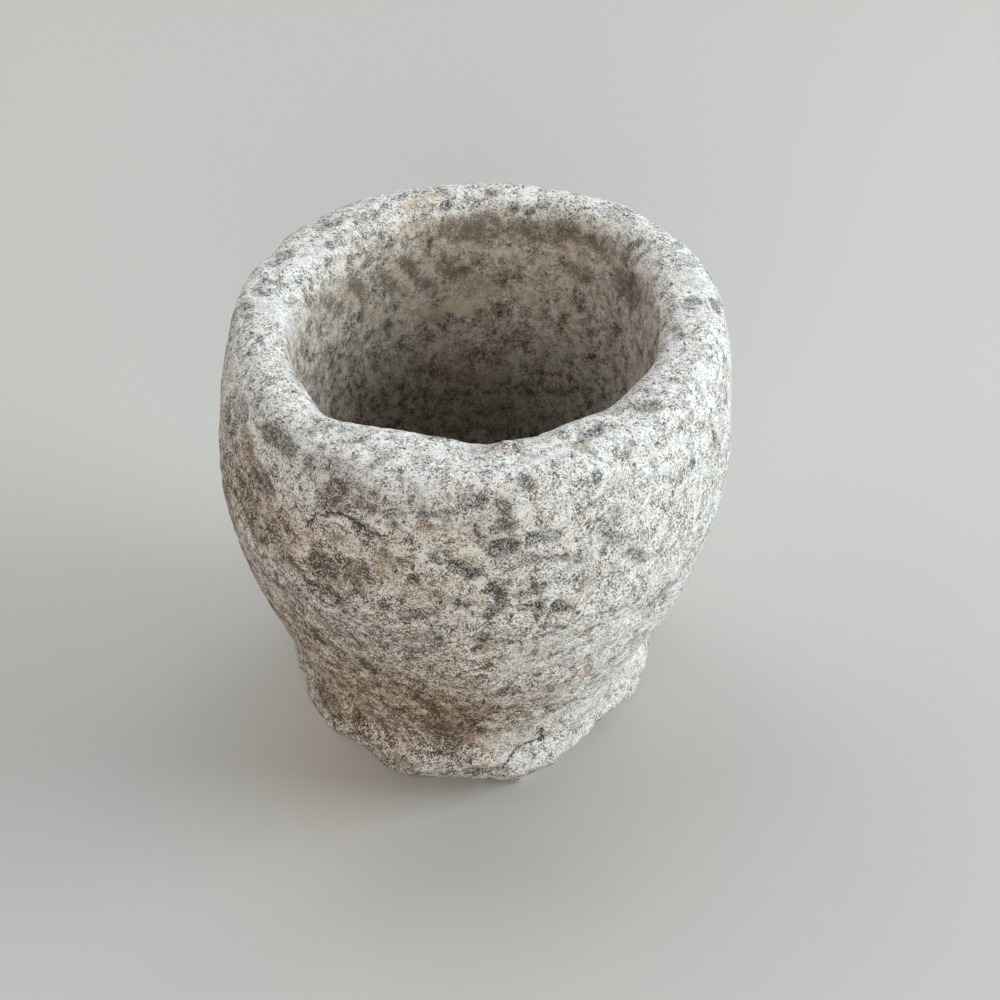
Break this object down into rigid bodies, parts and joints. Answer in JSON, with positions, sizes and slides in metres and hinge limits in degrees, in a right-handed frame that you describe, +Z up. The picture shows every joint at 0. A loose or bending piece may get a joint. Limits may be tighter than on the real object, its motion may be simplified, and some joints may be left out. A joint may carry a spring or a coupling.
{
  "type": "stone mortar",
  "caption": "Hand-carved granite mortar: a rough chipped foot, a narrow waist, a swelling belly, a thick rounded rim and a deep open bowl, all cut from one block.",
  "frame": {"origin": "on the resting face, under the middle of the block's widest extents in X and Y", "axes": "+Z up, out of the bowl's mouth and normal to the resting face; -Y is the side with the flat run in the lip, and +X is to the right of it"},
  "size_m": [0.1283, 0.1314, 0.1209],
  "materials": {
    "granite": "rough, pecked and weathered, matt"
  },
  "bodies": {
    "root": {"mortar": "granite"}
  },
  "joints": []
}
